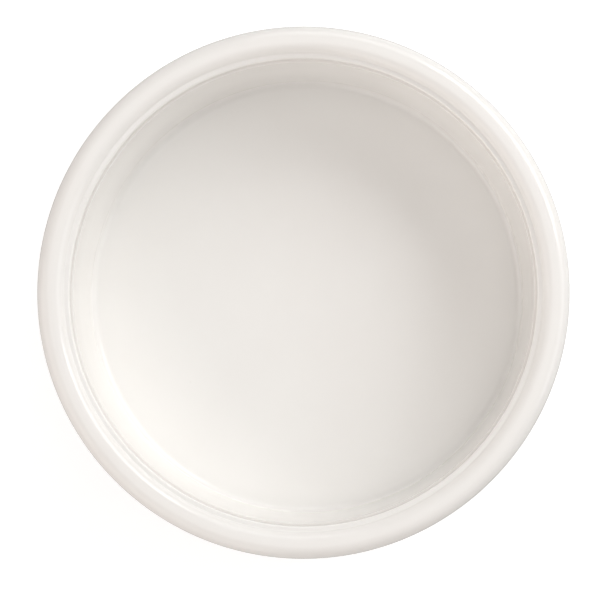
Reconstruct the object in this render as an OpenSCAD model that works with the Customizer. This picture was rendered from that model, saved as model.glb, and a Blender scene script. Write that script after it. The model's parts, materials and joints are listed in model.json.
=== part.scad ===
// Evaporating dish: a round, flat-bottomed porcelain dish with a rolled rim.
// It is one fired porcelain body under one coat of glaze. +Z is up, and the
// origin is the middle of the foot, on the surface that the dish stands on.
// Every size is that of the finished dish, with its glaze on, in millimetres.

/* [Dish] */
// Widest diameter, across the rolled rim
dish_d = 80; // [60:1:120]
// Height from the foot to the top of the rim
dish_h = 24; // [18:0.5:40]

/* [Rolled rim] */
// Height of the roll's flank, from its lower edge to its top
rim_h = 4.6; // [4:0.1:6]
// Radius of the roll's outer shoulder
rim_shoulder = 1.9; // [1:0.1:2.4]
// Width of the level top, between the two sides of the roll
rim_top = 0.4; // [0.1:0.05:1]
// Radius of the roll where it turns down into the bowl
rim_inner = 1.8; // [1.5:0.1:3]
// Angle that the roll turns down through, inside
rim_turn = 64; // [45:1:70]
// Radius of the roll's lower edge
rim_under = 1.5; // [0.8:0.1:1.6]

/* [Lip and crease] */
// Width of the small lip at the foot of the roll
lip_w = 0.75; // [0.6:0.05:1.2]
// Slope of the lip, down towards the bowl
lip_slope = 15; // [5:1:25]
// Height of the step under the lip, down to the crease
step_h = 0.9; // [0.7:0.1:1.5]
// Width of the sloping shoulder between the crease and the wall
shoulder_w = 0.35; // [0.3:0.05:1.2]
// Slope of that shoulder
shoulder_slope = 50; // [20:1:60]

/* [Wall and floor] */
// Thickness of the wall at its top
wall_t = 2.8; // [2.4:0.1:3.6]
// How much the bowl narrows on each side, from the shoulder to the floor
bowl_taper = 1.9; // [0.3:0.1:3]
// How much the outside narrows on each side, from the roll to the heel
outer_taper = 1.6; // [0.3:0.1:2]
// Thickness of the floor
floor_t = 3.6; // [3:0.1:6]
// Radius of the hollow corner between wall and floor
floor_fillet = 1.2; // [1:0.1:5]

/* [Foot] */
// How far the foot ring is set in from the heel
foot_in = 5; // [4.5:0.1:9]
// Width of the foot ring
foot_w = 2.6; // [2:0.1:5]
// Height of the foot ring
foot_h = 1.2; // [1:0.1:2.5]
// Radius of the heel, between the wall and the underside
heel_r = 3.6; // [2:0.1:4]

/* [Glaze] */
// Thickness of the glaze
glaze_t = 0.2; // [0.1:0.05:0.25]
// Height of the line where the glaze ends on the outside
glaze_line = 5; // [4.5:0.5:8]

/* [Hidden] */
$fn = 96;

// How far the cutters that round a corner reach past it
tip_reach = 0.1;

// Small radii, of edges and of hollows
foot_edge = 0.5;
foot_hollow = 0.4;
neck_hollow = 0.5;
roll_hollow = 0.3;
lip_edge = 0.4;
crease_hollow = 0.1;
shoulder_edge = 0.4;

// Rise of the roll's underside, from the wall to its lower edge
under_rise = 0.6;
// Straight stretch between the roll and the lip
roll_straight = 0.25;
// Angle of the step under the lip, from level
step_slope = 80;

rim_r = dish_d / 2;
floor_z = foot_h + floor_t;

// The inside, from the roll down: roll, lip, step, crease, shoulder and wall
turn_r = rim_r - rim_shoulder - rim_top - rim_inner * tan(rim_turn / 2);
roll_run = rim_inner * tan(rim_turn / 2) + roll_straight;
roll_foot = [turn_r, dish_h] - roll_run * [cos(rim_turn), sin(rim_turn)];
lip = roll_foot - lip_w * [1, tan(lip_slope)];
crease = lip - step_h * [1 / tan(step_slope), 1];
shoulder = crease - shoulder_w * [1, tan(shoulder_slope)];
floor_r = shoulder[0] - bowl_taper;

// The outside wall stands its thickness out from the bowl, and the foot is set in under it
neck_r = shoulder[0] + wall_t;
heel_x = neck_r - outer_taper;
foot_r = heel_x - foot_in;

// The finished dish in half section, anticlockwise from the middle of the underside.
// Each corner is [distance from the axis, height, rounding radius].
dish_corners = [
    [0, foot_h, 0],
    [foot_r - foot_w, foot_h, foot_hollow],
    [foot_r - foot_w, 0, foot_edge],
    [foot_r, 0, foot_edge],
    [foot_r, foot_h, foot_hollow],
    [heel_x, foot_h, heel_r],
    [neck_r, dish_h - rim_h - under_rise, neck_hollow],
    [rim_r, dish_h - rim_h, rim_under],
    [rim_r, dish_h, rim_shoulder],
    [turn_r, dish_h, rim_inner],
    [roll_foot[0], roll_foot[1], roll_hollow],
    [lip[0], lip[1], lip_edge],
    [crease[0], crease[1], crease_hollow],
    [shoulder[0], shoulder[1], shoulder_edge],
    [floor_r, floor_z, floor_fillet],
    [0, floor_z, 0],
];

// The edges of the underside, counted from the first corner, carry no glaze
bare_edges = 5;

function flat(corner) = [corner[0], corner[1]];
function unit(v) = v / norm(v);
function into(v) = [-v[1], v[0]];
function next(i) = (i + 1) % len(dish_corners);
function before(i) = (i + len(dish_corners) - 1) % len(dish_corners);
function along(i) = unit(flat(dish_corners[next(i)]) - flat(dish_corners[i]));

// Depth of the glaze on the edge that leaves corner i. The last edge is the axis.
function glaze_on(i) = i < bare_edges || i == len(dish_corners) - 1 ? 0 : glaze_t;

// A point of the edge that leaves corner i, moved in by the glaze on it
function under_glaze(i) = flat(dish_corners[i]) + glaze_on(i) * into(along(i));

// Where the line through p along u crosses the line through q along v
function meet(p, u, q, v) = p + u * cross(q - p, v) / cross(u, v);

// 1 where the outline turns round the material, and -1 in a hollow
function bulge(i) = sign(cross(along(before(i)), along(i)));

// The same corner on the body, under the glaze
function body_corner(i) =
    let (p = meet(under_glaze(before(i)), along(before(i)), under_glaze(i), along(i)))
    let (r = dish_corners[i][2])
    [p[0], p[1], r > 0 ? r - bulge(i) * glaze_on(i) : 0];

body_corners = [for (i = [0:len(dish_corners) - 1]) body_corner(i)];

// What rounding takes off corner i, or fills in at a hollow. It reaches past the corner
// itself, so that it meets no edge of the outline face to face.
module tip(corners, i) {
    c = flat(corners[i]);
    r = corners[i][2];
    a = unit(flat(corners[before(i)]) - c);
    b = unit(flat(corners[next(i)]) - c);
    half = acos(a * b) / 2;
    difference() {
        polygon([c - tip_reach * unit(a + b), c + a * r / tan(half), c + b * r / tan(half)]);
        translate(c + unit(a + b) * r / sin(half)) circle(r);
    }
}

// Half section with every corner rounded by its radius
module rounded(corners) {
    rounds = [for (i = [0:len(corners) - 1]) if (corners[i][2] > 0) i];
    difference() {
        union() {
            polygon([for (c = corners) flat(c)]);
            for (i = rounds) if (bulge(i) < 0) tip(corners, i);
        }
        for (i = rounds) if (bulge(i) > 0) tip(corners, i);
    }
}

// Fired porcelain: floor, wall, rolled rim and foot ring in one piece, bare underneath
module porcelain_body() {
    color("linen") rotate_extrude() rounded(body_corners);
}

// Glaze over the whole inside, the rim and the outside, down to the glaze line
module glaze_coat() {
    color("floralwhite") rotate_extrude() difference() {
        rounded(dish_corners);
        rounded(body_corners);
        square([rim_r, foot_h + floor_t / 2]);
        translate([floor_r + wall_t / 2, 0]) square([rim_r, glaze_line]);
    }
}

porcelain_body();
glaze_coat();
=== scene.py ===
import json
from math import atan2, ceil, cos, hypot, pi, radians, sin, tan

import bpy
import numpy as np
from mathutils import Matrix, Vector
from mathutils.bvhtree import BVHTree


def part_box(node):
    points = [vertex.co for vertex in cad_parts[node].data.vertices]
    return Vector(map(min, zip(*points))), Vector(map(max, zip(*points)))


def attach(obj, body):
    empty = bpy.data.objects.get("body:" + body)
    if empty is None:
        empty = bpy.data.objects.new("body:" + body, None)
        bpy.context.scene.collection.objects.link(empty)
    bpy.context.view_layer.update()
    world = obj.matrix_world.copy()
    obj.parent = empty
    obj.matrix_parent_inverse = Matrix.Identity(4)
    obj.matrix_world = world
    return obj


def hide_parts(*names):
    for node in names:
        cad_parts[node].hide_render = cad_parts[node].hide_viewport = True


bl_info = {
    "name": "Evaporating Dish",
    "version": (1, 0, 0),
    "blender": (4, 5, 0),
    "location": "3D Viewport > Sidebar > Dish",
    "description": "A round porcelain evaporating dish with a rolled rim, on a pale studio floor",
    "category": "Add Mesh",
}

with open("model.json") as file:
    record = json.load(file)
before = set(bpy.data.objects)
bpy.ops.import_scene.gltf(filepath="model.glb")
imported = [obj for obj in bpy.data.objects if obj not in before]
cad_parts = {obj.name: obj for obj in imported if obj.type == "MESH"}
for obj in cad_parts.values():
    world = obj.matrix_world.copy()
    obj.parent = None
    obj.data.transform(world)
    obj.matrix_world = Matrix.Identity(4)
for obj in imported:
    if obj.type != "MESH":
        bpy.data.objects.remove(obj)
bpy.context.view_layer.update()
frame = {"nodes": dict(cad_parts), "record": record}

# ---------------------------------------------------------------- sizes from the frame

body_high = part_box("porcelain_body")[1]
glaze_low, glaze_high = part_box("glaze_coat")
MOUNT_HEIGHTS = {mount["name"]: mount["pos_m"][2] for mount in frame["record"]["mounts"]}

MM = 0.001
SEED = 7.0
# Points nearer to each other than this are merged, which closes the shells at the axis
AXIS_GAP = 1e-6


class DishSizes(bpy.types.PropertyGroup):
    """Sizes of the finished dish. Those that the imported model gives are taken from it."""

    dish_d: bpy.props.FloatProperty(
        name="Diameter", description="Widest diameter, across the rolled rim",
        default=glaze_high.x - glaze_low.x, unit="LENGTH")
    dish_h: bpy.props.FloatProperty(
        name="Height", description="From the foot to the top of the rim",
        default=glaze_high.z, unit="LENGTH")
    floor_z: bpy.props.FloatProperty(
        name="Floor height", description="Height of the bowl's level floor",
        default=MOUNT_HEIGHTS["bowl_floor"], unit="LENGTH")
    glaze_t: bpy.props.FloatProperty(
        name="Glaze thickness", description="Thickness of the glaze over the porcelain",
        default=glaze_high.z - body_high.z, unit="LENGTH")
    glaze_line: bpy.props.FloatProperty(
        name="Glaze line", description="Height at which the glaze ends on the outside",
        default=glaze_low.z, unit="LENGTH")
    rim_h: bpy.props.FloatProperty(
        name="Rim height", description="Height of the roll's flank",
        default=4.6 * MM, unit="LENGTH")
    rim_shoulder: bpy.props.FloatProperty(
        name="Rim shoulder", description="Radius of the roll's outer shoulder",
        default=1.9 * MM, unit="LENGTH")
    rim_top: bpy.props.FloatProperty(
        name="Rim top", description="Width of the level top of the roll",
        default=0.4 * MM, unit="LENGTH")
    rim_inner: bpy.props.FloatProperty(
        name="Rim inside", description="Radius of the roll where it turns down into the bowl",
        default=1.8 * MM, unit="LENGTH")
    rim_turn: bpy.props.FloatProperty(
        name="Rim turn", description="Angle that the roll turns down through, inside",
        default=radians(64), subtype="ANGLE", unit="ROTATION")
    rim_under: bpy.props.FloatProperty(
        name="Rim edge", description="Radius of the roll's lower edge",
        default=1.5 * MM, unit="LENGTH")
    lip_w: bpy.props.FloatProperty(
        name="Lip width", description="Width of the small lip at the foot of the roll",
        default=0.75 * MM, unit="LENGTH")
    lip_slope: bpy.props.FloatProperty(
        name="Lip slope", description="Slope of the lip, down towards the bowl",
        default=radians(15), subtype="ANGLE", unit="ROTATION")
    step_h: bpy.props.FloatProperty(
        name="Step height", description="Height of the step under the lip",
        default=0.9 * MM, unit="LENGTH")
    shoulder_w: bpy.props.FloatProperty(
        name="Shoulder width", description="Width of the sloping shoulder over the wall",
        default=0.35 * MM, unit="LENGTH")
    shoulder_slope: bpy.props.FloatProperty(
        name="Shoulder slope", description="Slope of that shoulder",
        default=radians(50), subtype="ANGLE", unit="ROTATION")
    wall_t: bpy.props.FloatProperty(
        name="Wall", description="Thickness of the wall at its top",
        default=2.8 * MM, unit="LENGTH")
    bowl_taper: bpy.props.FloatProperty(
        name="Bowl taper", description="How much the bowl narrows on each side",
        default=1.9 * MM, unit="LENGTH")
    outer_taper: bpy.props.FloatProperty(
        name="Outer taper", description="How much the outside narrows on each side",
        default=1.6 * MM, unit="LENGTH")
    floor_fillet: bpy.props.FloatProperty(
        name="Floor fillet", description="Radius of the hollow corner between wall and floor",
        default=1.2 * MM, unit="LENGTH")
    foot_in: bpy.props.FloatProperty(
        name="Foot inset", description="How far the foot ring is set in from the heel",
        default=5 * MM, unit="LENGTH")
    foot_w: bpy.props.FloatProperty(
        name="Foot width", description="Width of the foot ring",
        default=2.6 * MM, unit="LENGTH")
    foot_h: bpy.props.FloatProperty(
        name="Foot height", description="Height of the foot ring",
        default=1.2 * MM, unit="LENGTH")
    heel_r: bpy.props.FloatProperty(
        name="Heel", description="Radius between the wall and the underside",
        default=3.6 * MM, unit="LENGTH")
    waviness: bpy.props.FloatProperty(
        name="Waviness", description="How far the turned surface wanders inwards",
        default=0.04 * MM, unit="LENGTH")
    hem_rise: bpy.props.FloatProperty(
        name="Glaze edge rise", description="How far the glaze edge wanders up from its line",
        default=0.45 * MM, unit="LENGTH")


class DishFinish(bpy.types.PropertyGroup):
    """Colours and gloss of the glaze and of the bare porcelain."""

    glaze: bpy.props.FloatVectorProperty(
        name="Glaze", description="Colour of the glaze over the porcelain",
        default=(0.93, 0.923, 0.9), size=3, subtype="COLOR", min=0, max=1)
    # Also painted shade: this colour darkens the crease and the roll's hollows, where shade falls
    pooled_and_shade: bpy.props.FloatVectorProperty(
        name="Pooled glaze", description="Colour where the glaze lies thicker, in the hollows",
        default=(0.72, 0.69, 0.665), size=3, subtype="COLOR", min=0, max=1)
    cast: bpy.props.FloatVectorProperty(
        name="Cloudy glaze", description="Colour of the faint clouds in the glaze",
        default=(0.908, 0.896, 0.871), size=3, subtype="COLOR", min=0, max=1)
    speck: bpy.props.FloatVectorProperty(
        name="Specks", description="Colour of the few tiny specks in the glaze",
        default=(0.62, 0.56, 0.48), size=3, subtype="COLOR", min=0, max=1)
    gloss: bpy.props.FloatProperty(
        name="Glaze roughness", description="Roughness of the glaze", default=0.09, min=0, max=1)
    bare: bpy.props.FloatVectorProperty(
        name="Bare porcelain", description="Colour of the fired, unglazed porcelain",
        default=(0.84, 0.80, 0.74), size=3, subtype="COLOR", min=0, max=1)
    toasted: bpy.props.FloatVectorProperty(
        name="Toasted porcelain", description="Colour where the kiln has warmed the bare porcelain",
        default=(0.76, 0.69, 0.60), size=3, subtype="COLOR", min=0, max=1)
    worn: bpy.props.FloatVectorProperty(
        name="Worn foot", description="Colour of the scuffs on the foot ring",
        default=(0.57, 0.54, 0.50), size=3, subtype="COLOR", min=0, max=1)


class StudioLight(bpy.types.PropertyGroup):
    """The soft light round the dish, and the camera over it."""

    ambient: bpy.props.FloatProperty(
        name="Ambient", description="Radiance of the room all round", default=0.32, min=0)
    warmth: bpy.props.FloatVectorProperty(
        name="Room colour", description="Colour of the light that the room and the fill give",
        default=(1.0, 0.932, 0.892), size=3, subtype="COLOR", min=0, max=1)
    key: bpy.props.FloatProperty(
        name="Main light", description="Radiance of the main softbox", default=3.5, min=0)
    wings: bpy.props.FloatProperty(
        name="Side lights", description="Radiance of the softboxes on both sides of the main one",
        default=1.4, min=0)
    overhead: bpy.props.FloatProperty(
        name="Overhead", description="Radiance of the panel above", default=0.64, min=0)
    fill: bpy.props.FloatProperty(
        name="Fill", description="Radiance of the wide panel opposite the main light",
        default=1.42, min=0)
    camera_tilt: bpy.props.FloatProperty(
        name="Camera tilt", description="How far the camera leans off the dish's axis",
        default=radians(3), subtype="ANGLE", unit="ROTATION")
    camera_side: bpy.props.FloatProperty(
        name="Camera side", description="Direction that the camera leans to",
        default=radians(-50), subtype="ANGLE", unit="ROTATION")
    camera_distance: bpy.props.FloatProperty(
        name="Camera distance", description="From the rim to the camera", default=1.0,
        unit="LENGTH")
    filled: bpy.props.FloatProperty(
        name="Frame filled", description="Share of the picture's width that the dish takes",
        default=0.89, min=0.1, max=1)


# ---------------------------------------------------------------- outline of the dish

# Small radii of edges and hollows
FOOT_EDGE = 0.5 * MM
FOOT_HOLLOW = 0.4 * MM
NECK_HOLLOW = 0.5 * MM
ROLL_HOLLOW = 0.3 * MM
LIP_EDGE = 0.4 * MM
CREASE_HOLLOW = 0.1 * MM
SHOULDER_EDGE = 0.4 * MM

# Rise of the roll's underside, from the wall to its lower edge
UNDER_RISE = 0.6 * MM
# Straight stretch between the roll and the lip
ROLL_STRAIGHT = 0.25 * MM
# Angle of the step under the lip, from level
STEP_SLOPE = radians(80)

# How much each place darkens to the pooled colour: thicker glaze at the hem, thicker glaze and
# painted shade in the crease, the roll's hollows, the shoulder and the wall's top. It passes evenly
# from one to the next.
CREASE_POOL_SHADE = 0.9
ROLL_POOL_SHADE = 0.4
SHOULDER_POOL_SHADE = 0.55
FLOOR_POOL_SHADE = 0.3
POOL_HEM = 0.9

# Radius of the glaze's edge at its line, as a share of its thickness, outside and underneath
HEM_EDGE = 0.4
HEM_EDGE_UNDER = 0.12


def outline_of(size):
    """Half section of the finished dish, anticlockwise from the middle of the underside.

    Each corner is (distance from the axis, height, rounding radius, darkening by thicker glaze and
    painted shade)."""
    rim_r = size.dish_d / 2
    turn_tangent = size.rim_inner * tan(size.rim_turn / 2)
    turn_r = rim_r - size.rim_shoulder - size.rim_top - turn_tangent
    roll_run = turn_tangent + ROLL_STRAIGHT
    roll_r = turn_r - roll_run * cos(size.rim_turn)
    roll_z = size.dish_h - roll_run * sin(size.rim_turn)
    lip_r = roll_r - size.lip_w
    lip_z = roll_z - size.lip_w * tan(size.lip_slope)
    crease_r = lip_r - size.step_h / tan(STEP_SLOPE)
    crease_z = lip_z - size.step_h
    shoulder_r = crease_r - size.shoulder_w
    shoulder_z = crease_z - size.shoulder_w * tan(size.shoulder_slope)
    floor_r = shoulder_r - size.bowl_taper
    neck_r = shoulder_r + size.wall_t
    heel_r = neck_r - size.outer_taper
    foot_r = heel_r - size.foot_in
    flank_z = size.dish_h - size.rim_h
    # The last value darkens the hollows under and inside the roll, the crease and the shoulder with
    # painted shade
    return [
        (0, size.foot_h, 0, 0),
        (foot_r - size.foot_w, size.foot_h, FOOT_HOLLOW, 0),
        (foot_r - size.foot_w, 0, FOOT_EDGE, 0),
        (foot_r, 0, FOOT_EDGE, 0),
        (foot_r, size.foot_h, FOOT_HOLLOW, 0),
        (heel_r, size.foot_h, size.heel_r, 0),
        (neck_r, flank_z - UNDER_RISE, NECK_HOLLOW, ROLL_POOL_SHADE),
        (rim_r, flank_z, size.rim_under, 0),
        (rim_r, size.dish_h, size.rim_shoulder, 0),
        (turn_r, size.dish_h, size.rim_inner, 0),
        (roll_r, roll_z, ROLL_HOLLOW, ROLL_POOL_SHADE),
        (lip_r, lip_z, LIP_EDGE, 0),
        (crease_r, crease_z, CREASE_HOLLOW, CREASE_POOL_SHADE),
        (shoulder_r, shoulder_z, SHOULDER_EDGE, SHOULDER_POOL_SHADE),
        (floor_r, size.floor_z, size.floor_fillet, FLOOR_POOL_SHADE),
        (0, size.floor_z, 0, 0),
    ]


# The edges of the underside, counted from the first corner, carry no glaze
BARE_EDGES = 5


def cross(u, v):
    return u[0] * v[1] - u[1] * v[0]


def along(corners, i):
    """Direction of the edge that leaves corner i."""
    a = corners[i]
    b = corners[(i + 1) % len(corners)]
    length = hypot(b[0] - a[0], b[1] - a[1])
    return (b[0] - a[0]) / length, (b[1] - a[1]) / length


def bulge(corners, i):
    """1 where the outline turns round the material, -1 in a hollow, 0 on the axis."""
    turned = cross(along(corners, i - 1), along(corners, i))
    return (turned > 0) - (turned < 0)


def under_glaze(corners, depth):
    """The same half section on the porcelain, the glaze's depth under the finished one."""
    last = len(corners) - 1

    def moved(i):
        i %= len(corners)
        way = along(corners, i)
        glazed = depth if BARE_EDGES <= i < last else 0
        return (corners[i][0] - way[1] * glazed, corners[i][1] + way[0] * glazed), way, glazed

    result = []
    for i, (_, _, rounding, pool) in enumerate(corners):
        (p, u, _), (q, v, glazed) = moved(i - 1), moved(i)
        reach = cross((q[0] - p[0], q[1] - p[1]), v) / cross(u, v)
        if rounding > 0:
            rounding -= bulge(corners, i) * glazed
        result.append((p[0] + u[0] * reach, p[1] + u[1] * reach, rounding, pool))
    return result


# Angle between two points of a rounded corner, on seen and on covered surfaces
SEEN_STEP = radians(5)
COVERED_STEP = radians(14)
# Fewest stretches in a rounded corner
LEAST_STEPS = 3


def arc_steps(corners, i, step):
    """How many stretches a rounded corner is made of."""
    if i == 0 or i == len(corners) - 1:
        return 1
    turned = cross(along(corners, i - 1), along(corners, i))
    level = sum(a * b for a, b in zip(along(corners, i - 1), along(corners, i)))
    return max(LEAST_STEPS, ceil(abs(atan2(turned, level)) / step))


def outline_mesh(name, corners, steps, hems):
    """A chain of edges through the corners, with what the turning tree reads at each."""
    mesh = bpy.data.meshes.new(name)
    points = [(r, 0, z) for r, z, _, _ in corners]
    mesh.from_pydata(points, [(i, i + 1) for i in range(len(points) - 1)], [])
    for label, values in (
        ("rounding", [c[2] for c in corners]),
        ("pooled_and_shade", [c[3] for c in corners]),
        ("hem", hems),
        ("arc_steps", [float(n) for n in steps]),
    ):
        mesh.attributes.new(label, "FLOAT", "POINT").data.foreach_set("value", values)
    return mesh


# ---------------------------------------------------------------- turning tree

# Columns round the dish
TURNS = 320
# Longest stretch that isn't cut, and the most cuts that a stretch may have
SPACING = 1.6 * MM
MOST_CUTS = 60

# Scale and detail of the surface's drift, and the radius from which it is at its full depth
DRIFT_SCALE = 55.0
DRIFT_DETAIL = 1.5
DRIFT_FULL = 0.02

# Scale and detail of the wander of the glaze's edge, round a circle of radius 1
HEM_SCALE = 7.0
HEM_DETAIL = 3.0


class Tree:
    """Adds nodes to a tree. An input is a value, or a socket of another node."""

    def __init__(self, tree):
        self.tree = tree

    def add(self, kind, *inputs, **settings):
        """Adds a node. Settings are its properties; inputs go to its sockets in order."""
        node = self.tree.nodes.new(kind)
        for key, value in settings.items():
            setattr(node, key, value)
        sockets = [s for s in node.inputs if s.enabled]
        for socket, value in zip(sockets, inputs):
            self.put(socket, value)
        return node

    def fill(self, node, inputs):
        """Puts inputs in a node's sockets by their names."""
        for socket in node.inputs:
            if socket.enabled and socket.name in inputs:
                self.put(socket, inputs[socket.name])
        return node

    def put(self, socket, value):
        """Links or sets one input. None leaves it as it is."""
        if isinstance(value, bpy.types.Node):
            value = next(s for s in value.outputs if s.enabled)
        if isinstance(value, bpy.types.NodeSocket):
            self.tree.links.new(value, socket)
        elif value is not None:
            socket.default_value = value

    def math(self, operation, a, b=None):
        return self.add("ShaderNodeMath", a, b, operation=operation)

    def reading(self, name):
        """The value of an attribute of the geometry, by its name."""
        return self.add("GeometryNodeInputNamedAttribute", name, data_type="FLOAT")


def turning_tree():
    """Rounds an outline's corners, divides it evenly and turns it about Z into a closed shell."""
    group = bpy.data.node_groups.new("turned_shell", "GeometryNodeTree")
    group.is_modifier = True
    for name, kind in (
        ("Outline", "NodeSocketGeometry"),
        ("Turns", "NodeSocketInt"),
        ("Spacing", "NodeSocketFloat"),
        ("Waviness", "NodeSocketFloat"),
        ("Hem rise", "NodeSocketFloat"),
        ("Seed", "NodeSocketFloat"),
        ("Finish", "NodeSocketMaterial"),
    ):
        group.interface.new_socket(name, in_out="INPUT", socket_type=kind)
    group.interface.new_socket("Shell", in_out="OUTPUT", socket_type="NodeSocketGeometry")
    t = Tree(group)
    given = t.add("NodeGroupInput").outputs

    # The rounded outline, with its straight stretches divided
    curve = t.add("GeometryNodeMeshToCurve", given["Outline"])
    fillet = t.add("GeometryNodeFilletCurve", curve, mode="POLY")
    steps = t.math("ROUND", t.reading("arc_steps"))
    t.fill(fillet, {"Count": steps, "Radius": t.reading("rounding")})
    place = t.add("GeometryNodeInputPosition")
    index = t.add("GeometryNodeInputIndex")
    ahead = t.fill(t.add("GeometryNodeFieldAtIndex", data_type="FLOAT_VECTOR"),
                   {"Value": place, "Index": t.math("ADD", index, 1)})
    run = t.add("ShaderNodeVectorMath", ahead, place, operation="DISTANCE")
    whole_cuts = t.math("FLOOR", t.math("DIVIDE", run, given["Spacing"]))
    cuts = t.math("MINIMUM", whole_cuts, MOST_CUTS)
    divided = t.add("GeometryNodeSubdivideCurve", fillet, cuts)

    # A grid with one row for each point of the outline and one column for each step of turn
    size = t.add("GeometryNodeAttributeDomainSize", divided, component="CURVE")
    columns = t.math("ADD", given["Turns"], 1)
    grid = t.add("GeometryNodeMeshGrid", 1.0, 1.0, size.outputs["Point Count"], columns)
    row = t.math("FLOOR", t.math("DIVIDE", t.math("ADD", index, 0.5), columns))
    column = t.math("SUBTRACT", index, t.math("MULTIPLY", row, columns))
    angle = t.math("MULTIPLY", t.math("DIVIDE", column, given["Turns"]), 2 * pi)

    def sampled(value, kind):
        """A value of the outline at the point that a row of the grid stands for."""
        node = t.add("GeometryNodeSampleIndex", data_type=kind, domain="POINT")
        return t.fill(node, {"Geometry": divided, "Value": value, "Index": row})

    point = t.add("ShaderNodeSeparateXYZ", sampled(place, "FLOAT_VECTOR"))
    radius, height = point.outputs["X"], point.outputs["Z"]
    turn_x, turn_y = t.math("COSINE", angle), t.math("SINE", angle)

    # The surface wanders inwards a little, and the glaze edge wanders up
    spot = t.add("ShaderNodeCombineXYZ", t.math("MULTIPLY", radius, turn_x),
                 t.math("MULTIPLY", radius, turn_y), height)
    drift = t.add("ShaderNodeTexNoise", spot, given["Seed"], DRIFT_SCALE, DRIFT_DETAIL,
                  noise_dimensions="4D")
    far_out = t.add("ShaderNodeMapRange", radius, 0.0, DRIFT_FULL, 0.0, 1.0)
    inwards = t.math("MULTIPLY", t.math("MULTIPLY", drift.outputs[0], given["Waviness"]), far_out)
    true_radius = t.math("SUBTRACT", radius, inwards)
    edge_spot = t.add("ShaderNodeCombineXYZ", turn_x, turn_y, 0.0)
    edge = t.add("ShaderNodeTexNoise", edge_spot, given["Seed"], HEM_SCALE, HEM_DETAIL,
                 noise_dimensions="4D")
    lifted = t.math("MULTIPLY", t.math("MULTIPLY", edge.outputs[0], given["Hem rise"]),
                    sampled(t.reading("hem"), "FLOAT"))
    spun = t.add("ShaderNodeCombineXYZ", t.math("MULTIPLY", true_radius, turn_x),
                 t.math("MULTIPLY", true_radius, turn_y), t.math("ADD", height, lifted))
    # Carries the darkening by thicker glaze and painted shade in the crease and hollows to the
    # glaze's finish
    pooled_and_shade = sampled(t.reading("pooled_and_shade"), "FLOAT")
    kept = t.add("GeometryNodeStoreNamedAttribute", data_type="FLOAT", domain="POINT")
    t.fill(kept, {"Geometry": grid.outputs["Mesh"], "Name": "pooling_and_shade", "Value": pooled_and_shade})
    placed = t.add("GeometryNodeSetPosition", kept)
    t.put(placed.inputs["Position"], spun)
    joined = t.add("GeometryNodeMergeByDistance", placed)
    t.put(joined.inputs["Distance"], AXIS_GAP)
    smooth = t.add("GeometryNodeSetShadeSmooth", joined)
    whole = t.add("GeometryNodeRealizeInstances", smooth)
    finished = t.add("GeometryNodeSetMaterial", whole)
    t.put(finished.inputs["Material"], given["Finish"])
    t.add("NodeGroupOutput", finished)
    return group


def turned_piece(name, outline, size, material):
    """Turns an outline into a plain, closed mesh with its finish."""
    group = bpy.data.node_groups.get("turned_shell") or turning_tree()
    piece = bpy.data.objects.new(name, outline)
    bpy.context.scene.collection.objects.link(piece)
    modifier = piece.modifiers.new("turned", "NODES")
    modifier.node_group = group
    chosen = {"Turns": TURNS, "Spacing": SPACING, "Waviness": size.waviness,
              "Hem rise": size.hem_rise, "Seed": SEED, "Finish": material}
    for item in group.interface.items_tree:
        if item.name in chosen:
            modifier[item.identifier] = chosen[item.name]
    bpy.context.view_layer.update()
    graph = bpy.context.evaluated_depsgraph_get()
    mesh = bpy.data.meshes.new_from_object(piece.evaluated_get(graph))
    mesh.name = name
    piece.modifiers.remove(modifier)
    piece.data = mesh
    bpy.data.meshes.remove(outline)
    if enclosed(mesh) < 0:
        mesh.flip_normals()
    return piece


def enclosed(mesh):
    """Volume that a mesh encloses. It is negative where its faces point inwards."""
    mesh.calc_loop_triangles()
    spots = np.zeros(len(mesh.vertices) * 3)
    mesh.vertices.foreach_get("co", spots)
    corners = np.zeros(len(mesh.loop_triangles) * 3, dtype=int)
    mesh.loop_triangles.foreach_get("vertices", corners)
    a, b, c = spots.reshape(-1, 3)[corners.reshape(-1, 3)].transpose(1, 0, 2)
    return float(np.einsum("ij,ij->i", a, np.cross(b, c)).sum() / 6)


# How far a piece may lie from the node that it stands for
FIT = 0.15 * MM


def check_fit(piece, node, slack):
    """Raises an error where the node's surface lies further than slack from the piece's."""
    mesh = piece.data
    points = [vertex.co for vertex in mesh.vertices]
    surface = BVHTree.FromPolygons(points, [face.vertices for face in mesh.polygons])
    stray = max(surface.find_nearest(v.co)[3] for v in frame["nodes"][node].data.vertices)
    if stray > slack:
        raise RuntimeError(f"{piece.name} lies {stray:.5f} m from {node}")


# ---------------------------------------------------------------- finishes

# Scale of each pattern. Its features are about 1 / scale metres wide.
CLOUD_SCALE = 70.0
SPECK_SCALE = 170.0
SHEEN_SCALE = 130.0
RIPPLE_SCALE = 240.0
FINE_RIPPLE_SCALE = 1100.0
TOASTED_SCALE = 45.0
GRAIN_SCALE = 3200.0
SCUFF_SCALE = 900.0
PIT_SCALE = 700.0

# Share of each colour where its pattern is strongest
CLOUD_SHARE = 0.6
POOLED_SHADE_SHARE = 0.9
SPECK_SHARE = 0.55
TOASTED_SHARE = 0.7
GRAIN_SHARE = 0.35
SCUFF_SHARE = 0.7

# Depth of each relief
RIPPLE_DEPTH = 0.02 * MM
FINE_RIPPLE_DEPTH = 0.003 * MM
PIT_DEPTH = 0.05 * MM
GRAIN_DEPTH = 0.03 * MM

# Darkening, which carries painted shade as well as thicker glaze, from which the glaze darkens, and
# at which it has darkened fully
POOL_SHADE_SEEN = 0.45
POOL_SHADE_FULL = 0.9

# Radius of a speck's core and of its edge, in cells of its pattern, and the share without one
SPECK_CORE = 0.02
SPECK_EDGE = 0.05
SPECKLESS = 0.965

# Height up to which the foot is scuffed fully, and above which it isn't scuffed
SCUFFED_FULLY = 0.05 * MM
SCUFFED_UP_TO = 0.4 * MM

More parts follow.
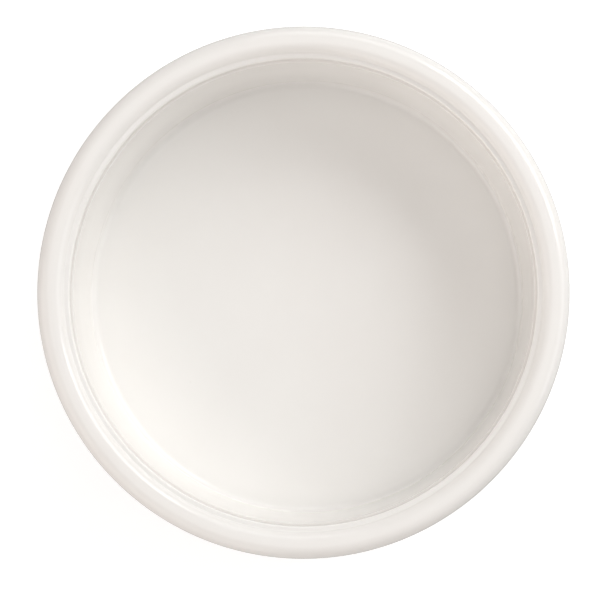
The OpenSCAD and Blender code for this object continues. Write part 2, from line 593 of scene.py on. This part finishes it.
# How far the glaze's roughness varies, as a share, and the range of the bare porcelain's
GLOSS_SPREAD = 0.3
BARE_SMOOTH = 0.68
BARE_ROUGH = 0.9

GLAZE_IOR = 1.52
BARE_IOR = 1.5


def new_finish(name):
    """An empty material with its shader, its tree and the object's own coordinates."""
    material = bpy.data.materials.new(name)
    material.use_nodes = True
    material.node_tree.nodes.clear()
    t = Tree(material.node_tree)
    shader = t.add("ShaderNodeBsdfPrincipled")
    t.put(t.add("ShaderNodeOutputMaterial").inputs["Surface"], shader)
    spot = t.add("ShaderNodeTexCoord").outputs["Object"]
    return material, t, shader, spot


def noise(t, spot, scale, detail=2.0, roughness=0.5):
    """Smooth noise from 0 to 1 with features about 1 / scale metres wide."""
    node = t.add("ShaderNodeTexNoise", noise_dimensions="3D")
    t.fill(node, {"Vector": spot, "Scale": scale, "Detail": detail, "Roughness": roughness})
    return node.outputs["Fac"]


def between(t, value, low, high, start=0.0, end=1.0):
    """Maps value from low..high to start..end, held at both ends."""
    return t.add("ShaderNodeMapRange", value, low, high, start, end, clamp=True).outputs[0]


def mixed(t, share, first, second):
    """One colour passing to another. Each is a colour or a socket."""
    node = t.add("ShaderNodeMix", data_type="RGBA")
    t.put(node.inputs["Factor"], share)
    for socket, value in zip([s for s in node.inputs if s.type == "RGBA"], (first, second)):
        t.put(socket, value if isinstance(value, bpy.types.NodeSocket) else (*value, 1.0))
    return next(s for s in node.outputs if s.type == "RGBA")


def raised(t, height, distance, strength, under=None):
    """Fine relief, as deep as distance, on top of what is under it."""
    node = t.add("ShaderNodeBump")
    t.fill(node, {"Height": height, "Distance": distance, "Strength": strength, "Normal": under})
    return node.outputs["Normal"]


def glaze_finish(finish):
    """Glossy warm white glaze: faint clouds, darker in the hollows with thicker glaze and painted
    shade, a few tiny specks.
    """
    material, t, shader, spot = new_finish("white_glaze")
    clouds = between(t, noise(t, spot, CLOUD_SCALE, 3.0), 0.35, 0.7)
    colour = mixed(t, t.math("MULTIPLY", clouds, CLOUD_SHARE),
                   tuple(finish.glaze), tuple(finish.cast))
    # Painted shade: the crease and the roll's hollows turn to the darker pooled colour, with
    # thicker glaze at the hem
    pooling_and_shade = t.add("ShaderNodeAttribute", attribute_name="pooling_and_shade").outputs["Fac"]
    pool_shade_amount = between(t, pooling_and_shade, POOL_SHADE_SEEN, POOL_SHADE_FULL)
    colour = mixed(t, t.math("MULTIPLY", pool_shade_amount, POOLED_SHADE_SHARE), colour, tuple(finish.pooled_and_shade))
    dots = t.add("ShaderNodeTexVoronoi", feature="F1")
    t.fill(dots, {"Vector": spot, "Scale": SPECK_SCALE})
    near = between(t, dots.outputs["Distance"], SPECK_CORE, SPECK_EDGE, 1.0, 0.0)
    few = t.add("ShaderNodeSeparateColor", dots.outputs["Color"]).outputs[0]
    rare = t.math("GREATER_THAN", few, SPECKLESS)
    specks = t.math("MULTIPLY", t.math("MULTIPLY", near, rare), SPECK_SHARE)
    t.put(shader.inputs["Base Color"], mixed(t, specks, colour, tuple(finish.speck)))
    sheen = noise(t, spot, SHEEN_SCALE, 4.0)
    t.put(shader.inputs["Roughness"],
          between(t, sheen, 0.3, 0.7, finish.gloss * (1 - GLOSS_SPREAD),
                  finish.gloss * (1 + GLOSS_SPREAD)))
    shader.inputs["IOR"].default_value = GLAZE_IOR
    ripple = raised(t, noise(t, spot, RIPPLE_SCALE), RIPPLE_DEPTH, 0.5)
    fine = noise(t, spot, FINE_RIPPLE_SCALE)
    t.put(shader.inputs["Normal"], raised(t, fine, FINE_RIPPLE_DEPTH, 0.5, ripple))
    return material


def bare_finish(finish):
    """Fired porcelain without glaze: matt and fine grained, scuffed grey on the foot ring."""
    material, t, shader, spot = new_finish("bare_porcelain")
    warm = between(t, noise(t, spot, TOASTED_SCALE, 4.0, 0.6), 0.4, 0.75)
    colour = mixed(t, t.math("MULTIPLY", warm, TOASTED_SHARE),
                   tuple(finish.bare), tuple(finish.toasted))
    grain = noise(t, spot, GRAIN_SCALE, 3.0, 0.7)
    grained = between(t, grain, 0.60, 0.75, 0.0, GRAIN_SHARE)
    colour = mixed(t, grained, colour, tuple(finish.toasted))
    height = t.add("ShaderNodeSeparateXYZ", spot).outputs["Z"]
    low = between(t, height, SCUFFED_FULLY, SCUFFED_UP_TO, 1.0, 0.0)
    scuffs = between(t, noise(t, spot, SCUFF_SCALE, 5.0, 0.75), 0.42, 0.68)
    worn = t.math("MULTIPLY", t.math("MULTIPLY", low, scuffs), SCUFF_SHARE)
    t.put(shader.inputs["Base Color"], mixed(t, worn, colour, tuple(finish.worn)))
    t.put(shader.inputs["Roughness"], between(t, grain, 0.3, 0.7, BARE_SMOOTH, BARE_ROUGH))
    shader.inputs["IOR"].default_value = BARE_IOR
    pits = raised(t, noise(t, spot, PIT_SCALE, 3.0), PIT_DEPTH, 0.5)
    t.put(shader.inputs["Normal"], raised(t, grain, GRAIN_DEPTH, 0.7, pits))
    return material


# ---------------------------------------------------------------- studio

WHITE = (1, 1, 1)

# The floor that the camera sees, with a dome over it: how much it reflects and glows
FLOOR_RADIUS = 8.0
FLOOR_REFLECTED = 0.5
FLOOR_GLOW = 0.7

# The floor that sends light up to the dish, just under the one that is seen
BOUNCE_RADIUS = 3.0
BOUNCE_DROP = 0.1 * MM
BOUNCE_REFLECTED = 0.6

# Distance from the dish to every softbox
LIGHT_DISTANCE = 1.0

# Each softbox is (name, setting, warm, azimuth, angle from overhead, width, height)
SOFTBOXES = (
    ("key_softbox", "key", False, radians(40), radians(56), 0.72, 0.55),
    ("right_softbox", "wings", False, radians(0), radians(56), 0.72, 0.55),
    ("left_softbox", "wings", False, radians(80), radians(56), 0.72, 0.55),
    ("overhead_panel", "overhead", False, 0.0, radians(5), 0.70, 0.70),
    ("fill_panel", "fill", True, radians(217), radians(68), 1.75, 0.85),
)


def toward(azimuth, off_axis):
    """Unit vector at an azimuth, leaning off the vertical by an angle."""
    level = sin(off_axis)
    return Vector((level * cos(azimuth), level * sin(azimuth), cos(off_axis)))


def add_softbox(name, radiance, colour, azimuth, off_axis, width, height, aim):
    """A rectangular area light of even radiance that faces the dish and isn't seen itself."""
    light = bpy.data.lights.new(name, "AREA")
    light.shape = "RECTANGLE"
    light.size = width
    light.size_y = height
    light.energy = radiance * pi * width * height
    light.color = colour
    lamp = bpy.data.objects.new(name, light)
    lamp.visible_camera = False
    direction = toward(azimuth, off_axis)
    lamp.location = aim + direction * LIGHT_DISTANCE
    lamp.rotation_euler = direction.to_track_quat("Z", "Y").to_euler()
    bpy.context.scene.collection.objects.link(lamp)


def stage_finish(name, reflected, glow):
    """Plain white that reflects some light and glows a little, without any gloss."""
    material = bpy.data.materials.new(name)
    material.use_nodes = True
    shader = next(n for n in material.node_tree.nodes if n.type == "BSDF_PRINCIPLED")
    shader.inputs["Base Color"].default_value = (reflected, reflected, reflected, 1)
    shader.inputs["Roughness"].default_value = 1
    shader.inputs["Specular IOR Level"].default_value = 0
    shader.inputs["Emission Color"].default_value = (*WHITE, 1)
    shader.inputs["Emission Strength"].default_value = glow
    return material


def add_disc(name, radius, height, dome, material):
    """A stage surface: a flat disc, with a dome over it where dome is set."""
    rings, spokes = 12, 64
    section = [(radius, height)]
    if dome:
        section += [(radius * cos(a), height + radius * sin(a))
                    for a in (pi / 2 * k / rings for k in range(1, rings))]
    points = [(0, 0, height)]
    for r, z in section:
        points += [(r * cos(2 * pi * s / spokes), r * sin(2 * pi * s / spokes), z)
                   for s in range(spokes)]
    faces = [(0, 1 + s, 1 + (s + 1) % spokes) for s in range(spokes)]
    for ring in range(len(section) - 1):
        low, high = 1 + ring * spokes, 1 + (ring + 1) * spokes
        faces += [(low + s, high + s, high + (s + 1) % spokes, low + (s + 1) % spokes)
                  for s in range(spokes)]
    if dome:
        top = len(points) - spokes
        points.append((0, 0, height + radius))
        faces += [(top + s, len(points) - 1, top + (s + 1) % spokes) for s in range(spokes)]
    mesh = bpy.data.meshes.new(name)
    mesh.from_pydata(points, [], faces)
    mesh.materials.append(material)
    disc = bpy.data.objects.new(name, mesh)
    bpy.context.scene.collection.objects.link(disc)
    return disc


SENSOR_WIDTH = 36
# Sets the dish a little right of and above the middle of the picture
FRAME_SHIFT = (-0.0045, -0.0137)
# Nearest and furthest that the camera sees
CLIP = (0.05, 50)


def aim_camera(studio, size):
    """Puts the camera over the dish, leaning a little to one side, with +Y up in the picture."""
    data = bpy.data.cameras.new("camera")
    camera = bpy.data.objects.new("camera", data)
    bpy.context.scene.collection.objects.link(camera)
    bpy.context.scene.camera = camera
    back = toward(studio.camera_side, studio.camera_tilt)
    right = Vector((0, 1, 0)).cross(back).normalized()
    up = back.cross(right)
    camera.location = Vector((0, 0, size.dish_h)) + back * studio.camera_distance
    camera.rotation_euler = Matrix((right, up, back)).transposed().to_euler()
    data.sensor_width = SENSOR_WIDTH
    data.lens = SENSOR_WIDTH * studio.camera_distance * studio.filled / size.dish_d
    data.shift_x, data.shift_y = FRAME_SHIFT
    data.clip_start, data.clip_end = CLIP


# ---------------------------------------------------------------- operators


class DISH_OT_glaze_coat(bpy.types.Operator):
    """Adds the glaze: a thin closed shell over the inside, the rim and the outside"""

    bl_idname = "dish.glaze_coat"
    bl_label = "Glaze Coat"

    def execute(self, context):
        size = context.scene.dish_sizes
        finished = outline_of(size)
        porcelain = under_glaze(finished, size.glaze_t)
        top = finished[BARE_EDGES + 1:][::-1]
        under = porcelain[BARE_EDGES + 1:]

        def at_line(corners):
            """Where the outside wall crosses the glaze line."""
            low, high = corners[BARE_EDGES], corners[BARE_EDGES + 1]
            share = (size.glaze_line - low[1]) / (high[1] - low[1])
            return low[0] + (high[0] - low[0]) * share

        hem = [
            (at_line(finished), size.glaze_line, HEM_EDGE * size.glaze_t, POOL_HEM),
            (at_line(porcelain), size.glaze_line, HEM_EDGE_UNDER * size.glaze_t, POOL_HEM),
        ]
        corners = top + hem + under
        seen = len(top) + 1
        steps = [
            arc_steps(corners, i, SEEN_STEP if i < seen else COVERED_STEP)
            for i in range(len(corners))
        ]
        hems = [1.0 if corner in hem else 0.0 for corner in corners]
        outline = outline_mesh("glaze_outline", corners, steps, hems)
        material = glaze_finish(context.scene.dish_finish)
        piece = turned_piece("glaze", outline, size, material)
        check_fit(piece, "glaze_coat", FIT + size.hem_rise)
        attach(piece, "root")
        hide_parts("glaze_coat")
        return {"FINISHED"}


class DISH_OT_porcelain_body(bpy.types.Operator):
    """Adds the fired porcelain: floor, wall, rolled rim and foot ring in one piece"""

    bl_idname = "dish.porcelain_body"
    bl_label = "Porcelain Body"

    def execute(self, context):
        size = context.scene.dish_sizes
        corners = under_glaze(outline_of(size), size.glaze_t)
        steps = [
            arc_steps(corners, i, SEEN_STEP if i <= BARE_EDGES else COVERED_STEP)
            for i in range(len(corners))
        ]
        outline = outline_mesh("body_outline", corners, steps, [0.0] * len(corners))
        material = bare_finish(context.scene.dish_finish)
        piece = turned_piece("porcelain", outline, size, material)
        check_fit(piece, "porcelain_body", FIT)
        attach(piece, "root")
        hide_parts("porcelain_body")
        return {"FINISHED"}


class DISH_OT_studio(bpy.types.Operator):
    """Adds the pale floor, the soft light round the dish and the camera over it"""

    bl_idname = "dish.studio"
    bl_label = "Studio"

    def execute(self, context):
        scene = context.scene
        studio = scene.dish_studio
        size = scene.dish_sizes
        seen = add_disc("floor", FLOOR_RADIUS, 0.0, True,
                        stage_finish("floor_seen", FLOOR_REFLECTED, FLOOR_GLOW))
        seen.visible_diffuse = False
        seen.visible_glossy = False
        seen.visible_shadow = False
        bounce = add_disc("bounce_floor", BOUNCE_RADIUS, -BOUNCE_DROP, False,
                          stage_finish("floor_bounce", BOUNCE_REFLECTED, 0.0))
        bounce.visible_camera = False
        aim = Vector((0, 0, size.dish_h))
        for name, setting, warm, *place in SOFTBOXES:
            colour = studio.warmth if warm else WHITE
            add_softbox(name, getattr(studio, setting), colour, *place, aim)
        world = bpy.data.worlds.new("room")
        world.use_nodes = True
        sky = next(n for n in world.node_tree.nodes if n.type == "BACKGROUND")
        sky.inputs["Color"].default_value = (*studio.warmth, 1)
        sky.inputs["Strength"].default_value = studio.ambient
        scene.world = world
        scene.view_settings.view_transform = "Standard"
        aim_camera(studio, size)
        return {"FINISHED"}


class DISH_PT_panel(bpy.types.Panel):
    """Lists the pieces of the dish and its studio"""

    bl_label = "Evaporating Dish"
    bl_space_type = "VIEW_3D"
    bl_region_type = "UI"
    bl_category = "Dish"

    def draw(self, context):
        for operator in OPERATORS:
            self.layout.operator(operator.bl_idname)
        for group in (context.scene.dish_sizes, context.scene.dish_finish,
                      context.scene.dish_studio):
            box = self.layout.box()
            for name in group.__annotations__:
                box.prop(group, name)


OPERATORS = (DISH_OT_porcelain_body, DISH_OT_glaze_coat, DISH_OT_studio)
GROUPS = {"dish_sizes": DishSizes, "dish_finish": DishFinish, "dish_studio": StudioLight}
CLASSES = (*GROUPS.values(), *OPERATORS, DISH_PT_panel)


def register():
    for cls in CLASSES:
        bpy.utils.register_class(cls)
    for name, group in GROUPS.items():
        setattr(bpy.types.Scene, name, bpy.props.PointerProperty(type=group))


def unregister():
    for name in GROUPS:
        delattr(bpy.types.Scene, name)
    for cls in reversed(CLASSES):
        bpy.utils.unregister_class(cls)


def main():
    register()
    bpy.ops.dish.porcelain_body()
    bpy.ops.dish.glaze_coat()
    bpy.ops.dish.studio()


if __name__ == "__main__":
    main()
